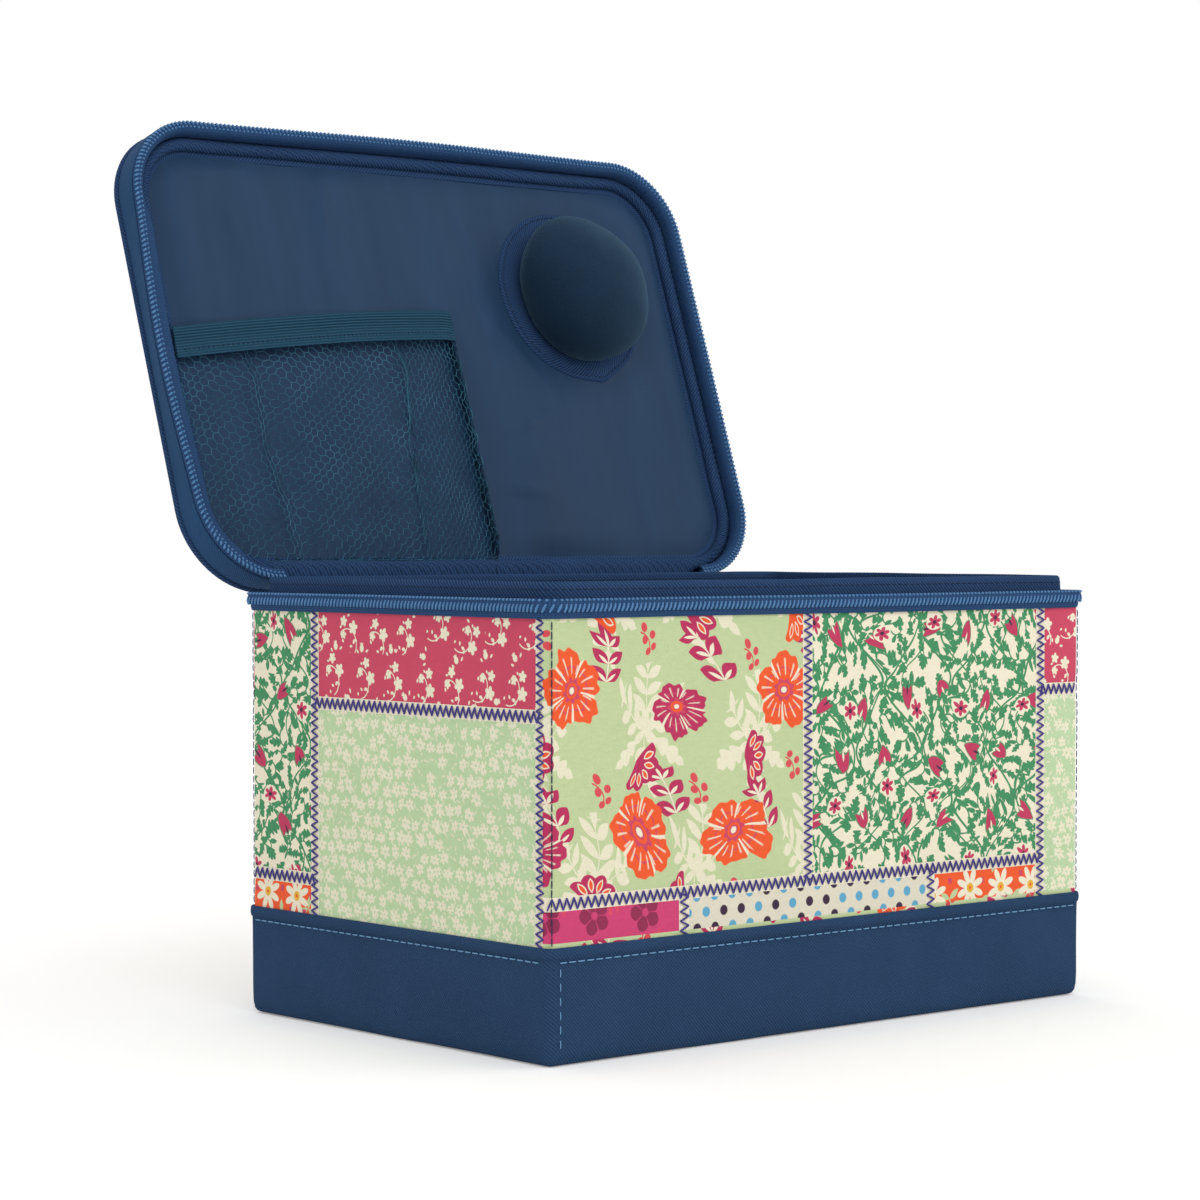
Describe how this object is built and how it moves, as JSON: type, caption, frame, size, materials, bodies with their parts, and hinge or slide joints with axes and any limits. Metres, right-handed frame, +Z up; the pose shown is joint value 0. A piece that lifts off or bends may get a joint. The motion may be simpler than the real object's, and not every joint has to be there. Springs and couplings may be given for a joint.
{
  "type": "sewing box",
  "caption": "Soft-sided sewing box with a zip-round lid hinged along one long side, a lined compartment, and a net pocket and pincushion inside the lid.",
  "frame": {"origin": "centre of the underside that the box stands on", "axes": "+Z up, +X along the long front towards its right end, and the front faces -Y; the lid is hinged along the rear"},
  "size_m": [0.3237, 0.2953, 0.3811],
  "materials": {
    "print_cotton": "woven cotton printed in patches, matt",
    "navy_twill": "fine diagonal twill, matt",
    "lining": "smooth lining cloth with a soft sheen",
    "board": "grey stiffening board, hidden",
    "foam": "soft wadding, hidden",
    "zip_tape": "knitted tape",
    "zip_coil": "moulded coil teeth with a slight gloss",
    "pocket_net": "open knitted mesh",
    "elastic": "ribbed elastic",
    "velvet": "short pile",
    "zip_metal": "enamelled metal"
  },
  "bodies": {
    "case": {"base_cover": "navy_twill", "base_board": "board", "base_insert": "lining", "base_band": "navy_twill", "front_print_panel": "print_cotton", "rear_print_panel": "print_cotton", "right_print_panel": "print_cotton", "left_print_panel": "print_cotton", "front_board": "board", "rear_board": "board", "left_board_front_half": "board", "left_board_rear_half": "board", "right_board_front_half": "board", "right_board_rear_half": "board", "front_lining": "lining", "rear_lining": "lining", "left_lining": "lining", "right_lining": "lining", "front_collar": "navy_twill", "rear_collar": "navy_twill", "left_collar": "navy_twill", "right_collar": "navy_twill", "front_left_collar": "navy_twill", "front_right_collar": "navy_twill", "rear_left_collar": "navy_twill", "rear_right_collar": "navy_twill", "case_zip_tape": "zip_tape", "case_zip_coil": "zip_coil", "hinge_strip": "navy_twill"},
    "lid": {"lid_zip_coil": "zip_coil", "lid_rim_band": "navy_twill", "lid_zip_tape": "zip_tape", "lid_piping": "navy_twill", "lid_lining": "lining", "lid_board": "board", "lid_foam": "foam", "lid_cover": "print_cotton", "lid_binding": "lining", "pocket_net": "pocket_net", "pocket_border": "pocket_net", "pocket_elastic": "elastic", "pincushion_ring": "lining", "pincushion_dome": "velvet"},
    "zip_slider": {"zip_slider": "zip_metal"},
    "pull_tab": {"pull_tab": "zip_metal"}
  },
  "joints": [
    {"name": "lid_hinge", "type": "hinge", "parent": "case", "child": "lid", "pos_m": [0, 0.1104, 0.1781], "axis": [-1, 0, 0], "range_deg": [-109, 101]},
    {"name": "slider_travel", "type": "slide", "parent": "case", "child": "zip_slider", "axis": [0, -1, 0], "range_m": [0, 0.15]},
    {"name": "pull_swing", "type": "hinge", "parent": "zip_slider", "child": "pull_tab", "pos_m": [0.162, 0.076, 0.1782], "axis": [0, 0, -1], "range_deg": [0, 170]}
  ]
}
